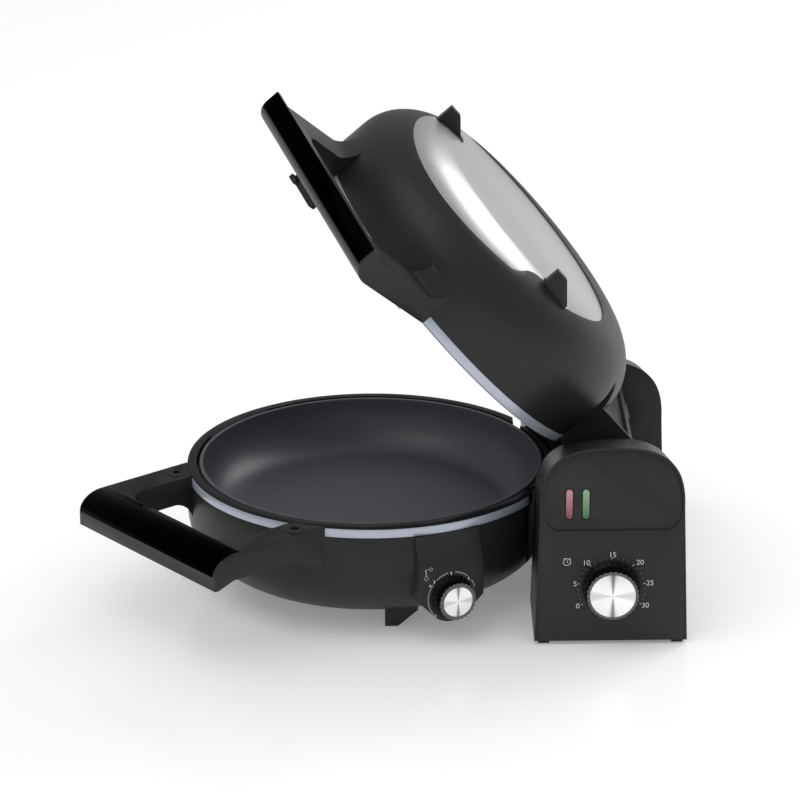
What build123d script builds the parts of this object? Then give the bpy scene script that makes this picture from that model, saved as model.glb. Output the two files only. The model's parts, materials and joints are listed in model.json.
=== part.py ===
from build123d import *
import math
import os

os.makedirs("parts", exist_ok=True)

# Countertop tortilla maker: two equal shallow pans hinged on one axle between two towers.
# The model is built with its zero on the worktop under the lower pan's centre, X towards the
# towers, Y away from the dials, Z up. At the end it is moved to the middle of its own box.

# Driving sizes: the rim, the axle's place and the towers
rim_radius = 131.0
axle_out = 30.5
axle_height = 87.3
axle_radius = 5.0
axle_bore = 3.0
lid_opening = 48.8
tower_inner_y = 62.0
tower_depth = 71.4
tower_shift = 1.5
tower_foot_half = 52.8
tower_spring_half = 49.4
tower_crown_rise = 46.4
tower_crown_power = 2.88
front_tower_height = 145.4
rear_tower_height = 135.5
tower_fall = 20.6
tower_foot_height = 3.0
tower_wall = 3.0
bridge_half = 27.0
bridge_top = 36.0
bridge_end = 5.0
bridge_screw_inset = 9.0
bridge_screw_heights = (14.0, 27.0)

# Tower bottom covers, pads and screws
boss_radius = 5.5
boss_height = 18.0
boss_inset = 12.0
boss_x = 44.3
cover_thick = 3.0
cover_gap = 0.2
pad_half_x = 4.0
pad_half_y = 5.0
pad_inset = 8.0
pad_x = 46.0

# Control panel, lamps and timer
panel_thick = 4.0
panel_rim = 1.6
panel_gap = 0.1
panel_step = 1.8
step_low_z = 85.0
step_half_low = 36.0
step_half_high = 47.5
step_high_z = 99.4
lens_width = 5.7
lens_height = 22.8
lens_fit = 0.15
lens_proud = 0.7
lens_z = 103.9
red_lens_x = -29.6
green_lens_x = -18.2
lamp_holder_depth = 14.0
timer_z = 42.4
timer_body_half = 21.0
timer_body_depth = 30.0
shaft_depth = 12.0

# Mains gland and terminals
gland_radius = 6.0
gland_bore = 3.6
gland_flange = 2.5
gland_z = 30.0
gland_length = 9.0
gland_inside = 3.0
terminal_half = 18.0
terminal_back = 30.0
terminal_height = 12.0
terminal_pitch = 12.0

# Bearings
bearing_radius = 11.0
bearing_length = 12.0
bearing_plate_half = (16.0, 9.0)
bearing_plate_thick = 4.0
clip_radius = 8.5
clip_thick = 1.2
axle_beyond_clip = 3.0

# Pans
bowl_depth = 77.0
shoulder_run = 50.0
shoulder_rise = 43.0
bowl_wall = 3.0
parting_gap = 0.2
band_top = 1.2
band_height = 6.2
band_thick = 3.8
band_end_gap = 0.25
collar_step = 0.4
collar_width = 6.2
collar_leg = 2.4
collar_leg_depth = 11.0
collar_foot = 2.0
groove_width = 2.2
groove_depth = 5.0
tongue_angles = (128.0, 159.0)
dish_lip = 2.6
dish_floor_radius = 93.5
dish_depth = 36.0
dish_top_straight = 2.0
dish_wall = 3.0
hinge_half = 60.0
hinge_root = 70.0
hinge_end_gap = 12.8
hinge_depth = 38.0
hinge_panel_sunk = 3.0
hinge_panel_rim = 4.0
hinge_tab = (2.0, 14.0, 7.0)
near_clear = 52.0
far_clear = 57.0
side_clear = 1.5
knuckle_radius = 12.0
lower_knuckle = (12.0, 37.0)
lid_knuckle = (39.0, 58.0)
bush_wall = 1.5

# Handles
handle_angle = 218.5
handle_out = 68.1
handle_half = 78.1
handle_sunk = 31.0
handle_thick = 18.5
handle_edge_depth = 22.8
handle_round_run = 18.6
handle_round_drop = 12.9
grip_width = 24.1
window_near = 57.0
window_far = 54.0
window_corner = 13.0
arm_fillet = 16.0
fillet_bite = 0.3
strip_thick = 1.2
strip_near_gap = 2.5
lid_strip_rise = 4.5

# Heater and what carries it
post_radius = 4.0
post_ring = 78.0
post_angles = (30, 120, 210, 300)
reflector_z = -50.0
reflector_thick = 1.0
reflector_rim = 8.0
element_radius = 70.0
element_tube = 3.5
element_start = 35.0
element_gap = 30.0
fuse_half = (12.0, 4.0)
fuse_height = 6.0

# Pan feet and the lid's disc
foot_width = 7.0
foot_length = 9.0
foot_slope_run = 14.0
foot_slope_rise = 12.0
near_foot = (8.0, -98.6)
far_foot = (-95.0, 30.0)
disc_centre = (-19.0, -17.0)
disc_in = 37.0
disc_thick = 2.0
disc_sunk = 0.8
disc_notch_radius = 22.0
disc_notch_fillet = 12.0
disc_notch_centre = (8.0, -118.0)

# Locating pins and their plates
pin_out = 8.9
pin_side = 67.5
pin_radius = 2.0
pin_length = 4.0
pin_hold = 6.0
socket_clear = 0.6
socket_depth = 8.0
plate_depth = 1.0
plate_inner = 4.0
plate_outer = 8.5
plate_half = 9.0
plate_rim_gap = 0.6

# Latch
latch_thick = 6.5
latch_far = -33.0
latch_near = -5.5
latch_travel = 5.0
latch_drop = 6.8
latch_hold = 12.0
lip_out = 3.5
lip_length = 7.0
lip_height = 3.6
lip_clear = 1.0
rail_out = 3.0
rail_low = 5.0
rail_high = 9.0
rail_inset = (8.0, 4.0)

# Knobs and thermostat
timer_knob_radius = 17.2
timer_skirt_radius = 19.7
timer_knob_height = 14.0
timer_cap_radius = 16.2
timer_flutes = 30
thermostat_angle = 292.7
thermostat_out = 7.6
thermostat_z = -52.3
thermostat_boss_radius = 18.5
thermostat_boss_half = 24.0
thermostat_boss_chin = 9.0
thermostat_lean_end = 18.0
thermostat_body_radius = 13.0
thermostat_body_depth = 20.0
thermostat_knob_radius = 12.2
thermostat_skirt_radius = 14.6
thermostat_knob_height = 10.4
thermostat_cap_radius = 10.2
thermostat_flutes = 26
knob_gap = 0.5
cap_thick = 1.2
flute_depth = 0.8
skirt_thick = 2.6
shaft_radius = 3.0
shaft_clearance = 0.4
shaft_in_knob = 8.0

# Clearances and fasteners
running_clearance = 0.05
press_clearance = 0.01
loose_clearance = 0.3
screw_radius = 2.0
screw_head_radius = 3.6
screw_head_height = 2.2
screw_reach = 9.0

# Worked out from the above
axle_x = rim_radius + axle_out
tower_x = axle_x + tower_shift
front_y = -tower_inner_y - tower_depth
rear_y = tower_inner_y + tower_depth
far = 3 * rim_radius
top_z = -parting_gap
band_low = -(band_top + band_height)
collar_outer = rim_radius - collar_step
collar_inner = collar_outer - collar_width
dish_lip_radius = collar_inner - groove_width
dish_mouth_radius = dish_lip_radius - dish_lip
hinge_end = axle_x - hinge_end_gap
handle_reach = rim_radius + handle_out
handle_root = rim_radius - handle_sunk
window_reach = handle_reach - grip_width
round_start = handle_reach - handle_round_run
round_end_z = top_z - handle_round_drop
thermostat_reach = rim_radius + thermostat_out
disc_radius = rim_radius - disc_in
pin_radial = math.sqrt((rim_radius + pin_out) ** 2 - pin_side**2)
latch_high = window_reach - 0.5
latch_low = latch_high - latch_thick
lip_reach = window_reach + lip_out
rail_reach = window_reach + rail_out


def box(x0, x1, y0, y1, z0, z1):
    """A block between two corners."""
    block = Box(x1 - x0, y1 - y0, z1 - z0, align=(Align.MIN, Align.MIN, Align.MIN))
    return Pos(x0, y0, z0) * block


def disc(radius, height):
    """A round standing on Z zero."""
    return Cylinder(radius, height, align=(Align.CENTER, Align.CENTER, Align.MIN))


def rod_z(radius, x, y, z0, z1):
    """A round upright rod."""
    return Pos(x, y, z0) * disc(radius, z1 - z0)


def rod_y(radius, x, z, y0, y1):
    """A round rod along Y."""
    return Pos(x, y0, z) * Rot(-90, 0, 0) * disc(radius, y1 - y0)


def rod_x(radius, x0, x1, z):
    """A round rod along X on the middle line."""
    return Pos(x0, 0, z) * Rot(0, 90, 0) * disc(radius, x1 - x0)


def ring_z(outer, inner, z0, z1):
    """A flat ring about the pan's centre."""
    return rod_z(outer, 0, 0, z0, z1) - rod_z(inner, 0, 0, z0 - 1, z1 + 1)


def joined(shapes):
    """Several shapes as one."""
    total = None
    for shape in shapes:
        total = shape if total is None else total + shape
    return total


def mirror_pair(shape):
    """The shape and its mirror image across the XZ plane."""
    return shape + mirror(shape, about=Plane.XZ)


def point_at(radius, degrees):
    """A point in plan at an angle about the pan's centre."""
    a = math.radians(degrees)
    return (radius * math.cos(a), radius * math.sin(a))


def fluted(radius, depth, flutes, height):
    """A knob body with grip flutes, standing on Z zero."""
    corners = []
    for i in range(2 * flutes):
        r = radius if i % 2 == 0 else radius - depth
        corners.append(point_at(r, 180 * i / flutes))
    return extrude(make_face(Polyline(*corners, close=True)), height)


def on_handle(shape):
    """Turn a shape drawn along +X to the handle's direction."""
    return Rot(0, 0, handle_angle) * shape


# Towers


def arch_face(y, height, inset):
    """The tower's outline at one Y, drawn in by an inset and carried below the worktop."""
    spring = height - tower_crown_rise
    lean = (tower_foot_half - tower_spring_half) / (front_tower_height - tower_crown_rise)
    low = -40.0
    low_half = tower_spring_half + lean * (spring - low) - inset
    half = tower_spring_half - inset
    rise = tower_crown_rise - inset
    crown_points = []
    for step in range(13):
        a = math.pi * step / 12
        across = math.copysign(abs(math.cos(a)) ** (2 / tower_crown_power), math.cos(a))
        up = abs(math.sin(a)) ** (2 / tower_crown_power)
        crown_points.append((half * across, spring + rise * up))
    crown_points[-1] = (-half, spring)
    crown = Spline(*crown_points, tangents=[(0, 1), (0, -1)])
    sides = Polyline((-half, spring), (-low_half, low), (low_half, low), (half, spring))
    face = make_face(crown + sides)
    plane = Plane(origin=(tower_x, y, 0), x_dir=(1, 0, 0), z_dir=(0, -1, 0))
    return plane * face


def tower_solid(face_y, height, y0, y1, inset, bottom):
    """The tower's volume from y0 to y1, its top falling away from the dial side."""
    slope = tower_fall / tower_depth
    start = arch_face(y0, height - slope * (y0 - face_y), inset)
    run = Vector(0, y1 - y0, -slope * (y1 - y0))
    body = extrude(start, amount=run.length, dir=run.normalized())
    return body & box(tower_x - far, tower_x + far, y0 - 1, y1 + 1, bottom, far)


def tower_boss_places(y0, y1):
    """Where the screw bosses of a tower's bottom cover stand."""
    xs = (tower_x - boss_x, tower_x + boss_x)
    return [(x, y) for x in xs for y in (y0 + boss_inset, y1 - boss_inset)]


def tower_shell(face_y, height, open_front):
    """A tower casing, open below and on its outer side."""
    y0 = face_y
    y1 = face_y + tower_depth
    shell = tower_solid(face_y, height, y0, y1, 0, tower_foot_height)
    if open_front:
        hollow = tower_solid(face_y, height, y0, y1 - tower_wall, tower_wall, -20)
        rebate = tower_solid(face_y, height, y0, y0 + panel_thick, panel_rim, -20)
    else:
        hollow = tower_solid(face_y, height, y0 + tower_wall, y1, tower_wall, -20)
        rebate = tower_solid(face_y, height, y1 - panel_thick, y1, panel_rim, -20)
    z0 = tower_foot_height + cover_thick
    places = tower_boss_places(y0, y1)
    bosses = joined(rod_z(boss_radius, x, y, z0, z0 + boss_height) for x, y in places)
    outer = tower_solid(face_y, height, y0, y1, tower_wall / 2, tower_foot_height)
    shell = (shell - hollow) + (bosses & outer) - rebate
    for x, y in places:
        shell -= rod_z(screw_radius, x, y, 0, z0 + boss_height - 2)
    hole = axle_radius + cover_gap
    shell -= rod_y(hole, axle_x, axle_height, -tower_inner_y - 5, tower_inner_y + 5)
    return shell - bridge_screw_holes()


def tower_cover(face_y, height, open_front):
    """The plate that closes a tower from below."""
    y0 = face_y + (panel_thick if open_front else tower_wall) + cover_gap
    y1 = face_y + tower_depth - (tower_wall if open_front else panel_thick) - cover_gap
    z0 = tower_foot_height
    plate = tower_solid(face_y, height, y0, y1, tower_wall + cover_gap, z0)
    plate &= box(tower_x - far, tower_x + far, y0, y1, z0, z0 + cover_thick)
    for x, y in tower_boss_places(face_y, face_y + tower_depth):
        plate -= rod_z(screw_radius, x, y, z0 - 1, z0 + cover_thick + 1)
        plate -= rod_z(screw_head_radius + cover_gap, x, y, z0 - 1, z0 + screw_head_height)
    return plate


def cover_screws():
    """Screws that hold both bottom covers."""
    z0 = tower_foot_height
    screws = []
    for face_y in (front_y, tower_inner_y):
        for x, y in tower_boss_places(face_y, face_y + tower_depth):
            screws.append(rod_z(screw_head_radius, x, y, z0, z0 + screw_head_height))
            screws.append(rod_z(screw_radius - press_clearance, x, y, z0, z0 + boss_height))
    return joined(screws)


def tower_feet():
    """Rubber pads under the four corners of both towers."""
    rows = (
        front_y + pad_inset,
        -tower_inner_y - pad_inset,
        tower_inner_y + pad_inset,
        rear_y - pad_inset,
    )
    pads = []
    for y in rows:
        for x in (tower_x - pad_x, tower_x + pad_x):
            y0 = y - pad_half_y
            y1 = y + pad_half_y
            pads.append(box(x - pad_half_x, x + pad_half_x, y0, y1, 0, tower_foot_height))
    return joined(pads)


def bridge_screw_places():
    """Where the screws of the bridge are, in X and Z."""
    reach = bridge_half - bridge_screw_inset
    return [(tower_x + side * reach, z) for side in (-1, 1) for z in bridge_screw_heights]


def bridge_screw_holes():
    """Holes for the screws that join the bridge to both towers."""
    y0 = -tower_inner_y - screw_reach
    y1 = -tower_inner_y + screw_reach
    return joined(mirror_pair(rod_y(screw_radius, x, z, y0, y1)) for x, z in bridge_screw_places())


def bridge_screws():
    """Screws with their heads inside the towers."""
    y0 = -tower_inner_y - tower_wall - screw_head_height
    screws = []
    for x, z in bridge_screw_places():
        head = rod_y(screw_head_radius, x, z, y0, y0 + screw_head_height)
        shank = rod_y(screw_radius - press_clearance, x, z, y0, y0 + screw_reach)
        screws.append(mirror_pair(head + shank))
    return joined(screws)


def base_bridge():
    """The channel that ties the two towers together under the hinge."""
    x0 = tower_x - bridge_half
    x1 = tower_x + bridge_half
    w = tower_wall
    body = box(x0, x1, -tower_inner_y, tower_inner_y, tower_foot_height, bridge_top)
    pocket = (2 * (tower_inner_y - bridge_end) - 2 * w) / 3
    for i in range(3):
        y0 = -tower_inner_y + bridge_end + i * (pocket + w)
        body -= box(x0 + w, x1 - w, y0, y0 + pocket, 0, bridge_top - w)
    return body - bridge_screw_holes()


def slot_prism(x, z, width, height, y0, y1):
    """An upright slot with round ends, running along Y."""
    slot = SlotOverall(height, width, rotation=90)
    plane = Plane(origin=(tower_x + x, y1, z), x_dir=(1, 0, 0), z_dir=(0, -1, 0))
    return extrude(plane * slot, y1 - y0)


def control_panel():
    """The front face with its sunk upper field, lens slots and timer hole."""
    y1 = front_y + panel_thick
    rim = panel_rim + panel_gap
    panel = tower_solid(front_y, front_tower_height, front_y, y1, rim, tower_foot_height)
    above = front_tower_height + 10
    field = Polyline(
        (step_half_high, step_high_z),
        (far, step_high_z),
        (far, above),
        (-far, above),
        (-far, step_high_z),
        (-step_half_high, step_high_z),
    )
    for side, start in ((-1, 180), (1, 270)):
        field += EllipticalCenterArc(
            center=(side * step_half_low, step_high_z),
            x_radius=step_half_high - step_half_low,
            y_radius=step_high_z - step_low_z,
            start_angle=start,
            arc_size=90,
        )
    field += Line((-step_half_low, step_low_z), (step_half_low, step_low_z))
    field = make_face(field)
    plane = Plane(origin=(tower_x, front_y + panel_step, 0), x_dir=(1, 0, 0), z_dir=(0, -1, 0))
    panel -= extrude(plane * field, panel_step + 1)
    for x in (red_lens_x, green_lens_x):
        panel -= slot_prism(x, lens_z, lens_width, lens_height, front_y - 1, y1 + 1)
    hole = shaft_radius + shaft_clearance
    return panel - rod_y(hole, tower_x, timer_z, front_y - 1, y1 + 1)


def rear_panel():
    """The plain cover of the rear tower's outer side, with the gland hole."""
    y0 = rear_y - panel_thick
    rim = panel_rim + panel_gap
    panel = tower_solid(tower_inner_y, rear_tower_height, y0, rear_y, rim, tower_foot_height)
    return panel - rod_y(gland_radius, tower_x, gland_z, y0 - 1, rear_y + 1)


def lens(x):
    """A lamp lens that fills its slot and stands a little proud of the sunk field."""
    y0 = front_y + panel_step - lens_proud
    y1 = front_y + panel_thick
    return slot_prism(x, lens_z, lens_width - lens_fit, lens_height - lens_fit, y0, y1)


def cable_gland():
    """The inlet that guides a mains cable through the rear cover."""
    y0 = rear_y - panel_thick - gland_inside
    y1 = rear_y + gland_length
    body = rod_y(gland_radius - press_clearance, tower_x, gland_z, y0, y1)
    flange = rod_y(gland_radius + gland_flange, tower_x, gland_z, y0, y0 + gland_inside)
    return body + flange - rod_y(gland_bore, tower_x, gland_z, y0 - 1, y1 + 1)


def lamp_holder():
    """The block behind the lenses that holds both lamps."""
    y0 = front_y + panel_thick
    edge = lens_width
    x0 = tower_x + red_lens_x - edge
    x1 = tower_x + green_lens_x + edge
    half = lens_height / 2
    return box(x0, x1, y0, y0 + lamp_holder_depth, lens_z - half, lens_z + half)


def timer_body():
    """The clockwork timer behind the panel."""
    y0 = front_y + panel_thick
    h = timer_body_half
    body = box(tower_x - h, tower_x + h, y0, y0 + timer_body_depth, timer_z - h, timer_z + h)
    bore = shaft_radius + running_clearance
    return body - rod_y(bore, tower_x, timer_z, y0 - 1, y0 + shaft_depth + 1)


def timer_shaft():
    """The timer's turning shaft, from the clockwork into the knob."""
    y0 = front_y - knob_gap - shaft_in_knob
    y1 = front_y + panel_thick + shaft_depth
    return rod_y(shaft_radius, tower_x, timer_z, y0, y1)


def knob(radius, skirt, height, flutes):
    """A knob on +Z: skirt, fluted grip and blind shaft hole."""
    body = fluted(radius, flute_depth, flutes, height - cap_thick)
    skirt_cone = Cone(skirt, radius, skirt_thick, align=(Align.CENTER, Align.CENTER, Align.MIN))
    return body + skirt_cone - disc(shaft_radius + press_clearance, shaft_in_knob)


def knob_cap(radius, height):
    """The turned metal disc on a knob's face."""
    return Pos(0, 0, height - cap_thick) * disc(radius, cap_thick)


def on_timer(shape):
    """Place a knob drawn on +Z at the timer."""
    place = Plane(
        origin=(tower_x, front_y - knob_gap, timer_z),
        x_dir=(1, 0, 0),
        z_dir=(0, -1, 0),
    )
    return place.location * shape


def bearing(side):
    """A bearing block on the inner wall of one tower."""
    y0 = tower_inner_y + tower_wall
    y1 = y0 + bearing_length
    half_x, half_z = bearing_plate_half
    plate_y = y0 + bearing_plate_thick
    block = rod_y(bearing_radius, axle_x, axle_height, y0, y1)
    block += box(
        axle_x - half_x, axle_x + half_x, y0, plate_y, axle_height - half_z, axle_height + half_z
    )
    block -= rod_y(axle_radius + press_clearance, axle_x, axle_height, y0 - 1, y1 + 1)
    return block if side > 0 else mirror(block, about=Plane.XZ)


def axle_clips():
    """Retaining rings outside both bearings."""
    y0 = tower_inner_y + tower_wall + bearing_length
    y1 = y0 + clip_thick
    clip = rod_y(clip_radius, axle_x, axle_height, y0, y1)
    clip -= rod_y(axle_radius + press_clearance, axle_x, axle_height, y0 - 1, y1 + 1)
    return mirror_pair(clip)


def axle():
    """The hollow steel axle, which also leads the wires to the pans."""
    end = tower_inner_y + tower_wall + bearing_length + clip_thick + axle_beyond_clip
    body = rod_y(axle_radius, axle_x, axle_height, -end, end)
    return body - rod_y(axle_bore, axle_x, axle_height, -end - 1, end + 1)


def terminal_block():
    """The block in the rear tower where the mains cable ends."""
    z0 = tower_foot_height + cover_thick
    y = tower_inner_y + terminal_back
    half_y = terminal_height / 2 + 1
    block = box(
        tower_x - terminal_half, tower_x + terminal_half, y - half_y, y + half_y,
        z0, z0 + terminal_height,
    )
    for i in (-1, 0, 1):
        x = tower_x + i * terminal_pitch
        block -= rod_z(screw_radius, x, y, z0 + terminal_height / 2, z0 + terminal_height + 1)
    return block


# Pans: drawn as the lower one, with Z zero on the parting plane and the bowl below


def bowl(offset, top):
    """The bowl's body of revolution, drawn in by an offset, up to a top level."""
    floor_radius = rim_radius - shoulder_run
    floor_z = -(bowl_depth - offset)
    side = rim_radius - offset
    spring_z = -(bowl_depth - shoulder_rise)
    outline = Line((0, floor_z), (floor_radius, floor_z))
    outline += EllipticalCenterArc(
        center=(floor_radius, spring_z),
        x_radius=shoulder_run - offset,
        y_radius=shoulder_rise - offset,
        start_angle=270,
        arc_size=90,
    )
    outline += Polyline((side, spring_z), (side, top), (0, top), (0, floor_z))
    return revolve(Plane.XZ * make_face(outline), Axis.Z)


def tower_room(grow, start_y):
    """The room round the axle that the towers need when the pan turns past them."""
    near = rod_y(near_clear + grow, axle_x, 0, -far, -start_y)
    room = near + rod_y(far_clear + grow, axle_x, 0, start_y, far)
    lean = (tower_foot_half - tower_spring_half) / (front_tower_height - tower_crown_rise)
    x0 = axle_x - tower_spring_half - tower_shift - side_clear - grow
    corners = [(x0, 0), (x0 - lean * axle_height, -axle_height)]
    corners += [(far, -axle_height), (far, 0)]
    side = extrude(Plane.XZ * make_face(Polyline(*corners, close=True)), far, both=True)
    return room + side - box(-far, 2 * far, -start_y, start_y, -far, far)


def handle_section():
    """The handle's section: flat parting face, rounded outer edge, sloped underside."""
    lines = Line((handle_root, top_z), (round_start, top_z))
    lines += EllipticalCenterArc(
        center=(round_start, round_end_z),
        x_radius=handle_round_run,
        y_radius=handle_round_drop,
        start_angle=0,
        arc_size=90,
    )
    under = handle_edge_depth - handle_thick
    lines += Polyline(
        (handle_reach, round_end_z),
        (handle_reach, -handle_edge_depth),
        (handle_reach - 3, -handle_edge_depth),
        (handle_reach - 3 - 3 * under, -handle_thick),
        (handle_root, -handle_thick),
        (handle_root, top_z),
    )
    return make_face(lines)


def handle_solid():
    """The handle's arms and crossbar, drawn along +X."""
    body = extrude(Plane.XZ * handle_section(), handle_half, both=True)
    window = box(handle_root - 1, window_reach, -window_far, window_near, -far, far)
    long_edges = window.edges().filter_by(Axis.Z).sort_by(Axis.X)[-2:]
    return body - fillet(long_edges, window_corner)


def arm_plans(gap, z0, z1):
    """The two handle arms as plain blocks, drawn along +X."""
    near = box(handle_root, handle_reach, window_near - gap, handle_half + gap, z0, z1)
    return near + box(handle_root, handle_reach, -handle_half - gap, -window_far + gap, z0, z1)


def arm_fillets():
    """The hollow rounding where the arms' undersides run into the bowl."""
    r = arm_fillet
    inner = rim_radius - 2
    outer = rim_radius + r - fillet_bite
    low = -handle_thick - r + fillet_bite
    high = -handle_thick + 1
    corner = Polyline((inner, high), (outer, high), (outer, low), (inner, low), close=True)
    section = make_face(corner) - Pos(outer, low) * Circle(r)
    flare = revolve(Plane.XZ * section, Axis.Z)
    return flare & arm_plans(0, low - 1, 0)


def hinge_block():
    """The block that carries the pan's knuckles between the towers."""
    half = hinge_half
    block = box(hinge_root, hinge_end, -half, half, -hinge_depth, top_z)
    low = -hinge_depth
    rim = hinge_panel_rim
    x0 = math.sqrt(rim_radius**2 - half**2)
    block -= box(x0, hinge_end - rim, -half + rim, half - rim, low - 1, low + hinge_panel_sunk)
    out, tab_half, rise = hinge_tab
    return block + box(hinge_end, hinge_end + out, -tab_half, tab_half, low, low + rise)


def hinge_hollow():
    """The room inside the hinge block for the wires."""
    w = bowl_wall
    floor = -hinge_depth + hinge_panel_sunk + w
    side = hinge_half - w
    return box(hinge_root, hinge_end - w, -side, side, floor, band_low - 2)


def knuckles(span):
    """Two knuckles about the axle, joined to the block below the parting plane."""
    y0, y1 = span
    body = rod_y(knuckle_radius, axle_x, 0, y0, y1)
    body += box(hinge_end - 3, axle_x, y0, y1, -knuckle_radius, top_z)
    bore = axle_radius + running_clearance + bush_wall + press_clearance
    return mirror_pair(body - rod_y(bore, axle_x, 0, y0 - 1, y1 + 1))


def bushes(span):
    """Plain bushes that turn on the axle."""
    y0, y1 = span
    inner = axle_radius + running_clearance
    bush = rod_y(inner + bush_wall, axle_x, 0, y0, y1)
    return mirror_pair(bush - rod_y(inner, axle_x, 0, y0 - 1, y1 + 1))


def rim_room():
    """What the collar and band take out of the handle and hinge block."""
    high = rod_z(rim_radius - 0.1, 0, 0, -band_top, 10)
    low = rod_z(rim_radius - band_thick - 0.1, 0, 0, band_low - 0.01, 10)
    return high + low


def post_places():
    """Where the posts stand that carry the reflector."""
    return [point_at(post_ring, a) for a in post_angles]


def housing(span):
    """A pan's outer casing with handle, hinge block, knuckles and inner posts."""
    extras = on_handle(handle_solid() + arm_fillets()) + hinge_block()
    shell = bowl(0, band_low) + (extras - rim_room())
    shell -= tower_room(0, hinge_half)
    hollow = bowl(bowl_wall, -10) + rod_z(rim_radius - band_thick, 0, 0, -12, 10)
    hollow -= tower_room(bowl_wall, hinge_half - bowl_wall)
    hollow += hinge_hollow()
    leg_room = collar_inner + collar_leg + 0.2
    hollow += rod_z(leg_room, 0, 0, -collar_leg_depth - 0.2, 10)
    hollow += rod_z(dish_lip_radius + 0.8, 0, 0, -dish_depth + 8, 10)
    shell -= hollow
    floor_z = -bowl_depth + bowl_wall - 0.5
    for x, y in post_places():
        shell += rod_z(post_radius, x, y, floor_z, reflector_z)
        shell -= rod_z(screw_radius, x, y, reflector_z - screw_reach - 2, reflector_z + 1)
    return shell + knuckles(span)


def rim_band():
    """The grey metal band round the rim, open at the handle arms and at the hinge."""
    band = ring_z(rim_radius, rim_radius - band_thick, band_low, -band_top)
    band -= on_handle(arm_plans(band_end_gap, -far, far))
    half = hinge_half + band_end_gap
    return band - box(0, far, -half, half, -far, far) - tower_room(0, hinge_half)


def collar():
    """The dark ring on the rim, with a leg inside the band that carries the dish."""
    leg_outer = collar_inner + collar_leg
    leg_low = -collar_leg_depth
    top = ring_z(collar_outer, collar_inner, -band_top, top_z)
    leg = ring_z(leg_outer, collar_inner, leg_low, -band_top)
    foot = ring_z(leg_outer, dish_lip_radius - 1.2, leg_low, leg_low + collar_foot)
    tongue = ring_z(collar_inner + 0.1, dish_lip_radius + 0.25, -groove_depth, top_z)
    sector = [(0, 0)] + [point_at(2 * rim_radius, a) for a in tongue_angles]
    tongue &= Pos(0, 0, -far / 2) * extrude(make_face(Polyline(*sector, close=True)), far)
    return top + leg + foot + tongue - tower_room(0, hinge_half)


def dish():
    """The shallow non-stick dish with a flange under its lip."""
    low = -dish_depth
    flange_low = -collar_leg_depth + collar_foot
    flange_top = flange_low + 2
    flange_reach = collar_inner - cover_gap
    inner_top = top_z - dish_top_straight
    outline = Line((0, low), (dish_floor_radius, low))
    outline += EllipticalCenterArc(
        center=(dish_floor_radius, inner_top),
        x_radius=dish_mouth_radius - dish_floor_radius,
        y_radius=inner_top - low,
        start_angle=270,
        arc_size=90,
    )
    under = dish_lip_radius - 1.6
    outline += Polyline(
        (dish_mouth_radius, inner_top),
        (dish_mouth_radius, top_z),
        (dish_lip_radius, top_z),
        (dish_lip_radius, flange_top),
        (flange_reach, flange_top),
        (flange_reach, flange_low),
        (under, flange_low),
    )
    outline += EllipticalCenterArc(
        center=(dish_floor_radius, flange_low),
        x_radius=under - dish_floor_radius,
        y_radius=flange_low - low + dish_wall,
        start_angle=270,
        arc_size=90,
    )
    outline += Polyline((dish_floor_radius, low - dish_wall), (0, low - dish_wall), (0, low))
    body = revolve(Plane.XZ * make_face(outline), Axis.Z)
    flange_zone = ring_z(rim_radius, dish_lip_radius, flange_low - 1, flange_top + 1)
    return body - (tower_room(0, hinge_half) & flange_zone)


def element_pins(radius, z0, z1):
    """Rods at the heater's two ends."""
    places = [point_at(element_radius, element_start - gap) for gap in (0, element_gap)]
    return joined(rod_z(radius, x, y, z0, z1) for x, y in places)


def element():
    """The tubular heater under the dish, open at one side with two terminals."""
    z = -dish_depth - dish_wall - element_tube
    circle = Plane.XZ * Pos(element_radius, z) * Circle(element_tube)
    tube = Rot(0, 0, element_start) * revolve(circle, Axis.Z, revolution_arc=360 - element_gap)
    return tube + element_pins(element_tube, reflector_z - 8, z)


def reflector():
    """The bright tray under the heater, screwed to the posts."""
    z0 = reflector_z
    tray = rod_z(post_ring + reflector_rim, 0, 0, z0, z0 + reflector_thick)
    for x, y in post_places():
        tray -= rod_z(screw_radius + cover_gap, x, y, z0 - 1, z0 + 2)
    return tray - element_pins(element_tube + 1, z0 - 1, z0 + 2)


def thermal_fuse():
    """The cut-out clipped on the reflector."""
    z0 = reflector_z + reflector_thick
    half_x, half_y = fuse_half
    return box(-half_x, half_x, -half_y, half_y, z0, z0 + fuse_height)


def reflector_screws():
    """Screws through the reflector into the posts."""
    z0 = reflector_z + reflector_thick
    screws = []
    for x, y in post_places():
        screws.append(rod_z(screw_head_radius, x, y, z0, z0 + screw_head_height))
        screws.append(rod_z(screw_radius - press_clearance, x, y, z0 - screw_reach, z0))
    return joined(screws)


def pan_feet():
    """Two feet on the bowl's bottom, each with a slope towards the hinge."""
    low = -axle_height
    high = low + 25
    feet = []
    for x, y in (near_foot, far_foot):
        x1 = x + foot_length
        x2 = x1 + foot_slope_run
        corners = [(x, low), (x1, low), (x2, low + foot_slope_rise), (x2, high), (x, high)]
        plane = Plane(origin=(0, y + foot_width, 0), x_dir=(1, 0, 0), z_dir=(0, -1, 0))
        feet.append(extrude(plane * make_face(Polyline(*corners, close=True)), foot_width))
    return joined(feet) - bowl(0, 5)


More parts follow.
